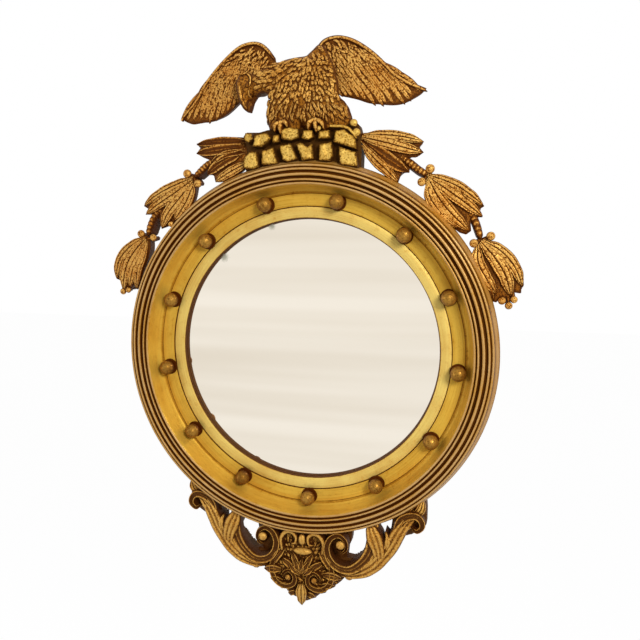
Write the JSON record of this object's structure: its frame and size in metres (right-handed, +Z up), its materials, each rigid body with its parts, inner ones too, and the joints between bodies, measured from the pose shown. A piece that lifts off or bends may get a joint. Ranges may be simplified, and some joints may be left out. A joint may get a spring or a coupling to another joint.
{
  "type": "girandole mirror",
  "caption": "Round convex wall mirror in a reeded gilt frame with balls in its cove, an eagle on rocks above, leaf sprays at its sides and a scrolled apron below.",
  "frame": {"origin": "on the wall, behind the centre of the looking glass", "axes": "+Z up, -Y out of the wall towards the viewer, +X to the viewer's right; the wall is the plane y = 0"},
  "size_m": [0.4772, 0.057, 0.6559],
  "materials": {
    "frame_gilding": "burnished gilt, brushed, with dark lines left between the reeds",
    "slip_gilding": "pale burnished gilt",
    "looking_glass": "silvered convex glass, slightly aged",
    "ball_gilding": "dull worn gilt",
    "carving_gilding": "antiqued gilt, dark red-brown in its hollows",
    "apron_gilding": "antiqued gilt, dark red-brown in its hollows",
    "backboard": "bare plywood, aged",
    "felt": "grey felt",
    "steel": "zinc plated, dull",
    "brass": "aged brass",
    "rubber": "matt black rubber"
  },
  "bodies": {
    "root": {"frame_ring": "frame_gilding", "slip": "slip_gilding", "looking_glass": "looking_glass", "packing_ring": "felt", "backboard": "backboard", "ball_01": "ball_gilding", "ball_02": "ball_gilding", "ball_03": "ball_gilding", "ball_04": "ball_gilding", "ball_05": "ball_gilding", "ball_06": "ball_gilding", "ball_07": "ball_gilding", "ball_08": "ball_gilding", "ball_09": "ball_gilding", "ball_10": "ball_gilding", "ball_11": "ball_gilding", "ball_12": "ball_gilding", "ball_13": "ball_gilding", "rock_plinth": "carving_gilding", "eagle_body": "carving_gilding", "eagle_left_wing": "carving_gilding", "eagle_right_wing": "carving_gilding", "spray_upper_right": "carving_gilding", "spray_middle_right": "carving_gilding", "spray_lower_right": "carving_gilding", "spray_upper_left": "carving_gilding", "spray_middle_left": "carving_gilding", "spray_lower_left": "carving_gilding", "apron_cartouche": "apron_gilding", "apron_branch_right": "apron_gilding", "apron_branch_left": "apron_gilding", "button_screw_1": "brass", "button_screw_2": "brass", "button_screw_3": "brass", "button_screw_4": "brass", "hanger_strap_right": "steel", "hanger_strap_left": "steel", "hanger_screw_right": "steel", "hanger_screw_left": "steel", "crest_plate": "steel", "apron_plate": "steel", "crest_screw_1": "steel", "crest_screw_2": "steel", "crest_screw_3": "steel", "crest_screw_4": "steel", "apron_screw_1": "steel", "apron_screw_2": "steel", "apron_screw_3": "steel", "apron_screw_4": "steel", "bumper_1": "rubber", "bumper_2": "rubber", "bumper_3": "rubber", "bumper_4": "rubber"},
    "turn_button_1": {"turn_button_1": "brass"},
    "turn_button_2": {"turn_button_2": "brass"},
    "turn_button_3": {"turn_button_3": "brass"},
    "turn_button_4": {"turn_button_4": "brass"},
    "hanger_ring_right": {"hanger_ring_right": "steel"},
    "hanger_ring_left": {"hanger_ring_left": "steel"}
  },
  "joints": [
    {"name": "turn_button_1_turn", "type": "hinge", "parent": "root", "child": "turn_button_1", "pos_m": [0.188, -0.0051, 0], "axis": [0, 1, 0], "continuous": true},
    {"name": "turn_button_2_turn", "type": "hinge", "parent": "root", "child": "turn_button_2", "pos_m": [0, -0.0051, 0.188], "axis": [0, 1, 0], "continuous": true},
    {"name": "turn_button_3_turn", "type": "hinge", "parent": "root", "child": "turn_button_3", "pos_m": [-0.188, -0.0051, 0], "axis": [0, 1, 0], "continuous": true},
    {"name": "turn_button_4_turn", "type": "hinge", "parent": "root", "child": "turn_button_4", "pos_m": [0, -0.0051, -0.188], "axis": [0, 1, 0], "continuous": true},
    {"name": "hanger_ring_right_swing", "type": "hinge", "parent": "root", "child": "hanger_ring_right", "pos_m": [0.14893, -0.0029, 0.11636], "axis": [-1, 0, 0], "range_deg": [0, 175]},
    {"name": "hanger_ring_left_swing", "type": "hinge", "parent": "root", "child": "hanger_ring_left", "pos_m": [-0.14893, -0.0029, 0.11636], "axis": [-1, 0, 0], "range_deg": [0, 175]}
  ]
}
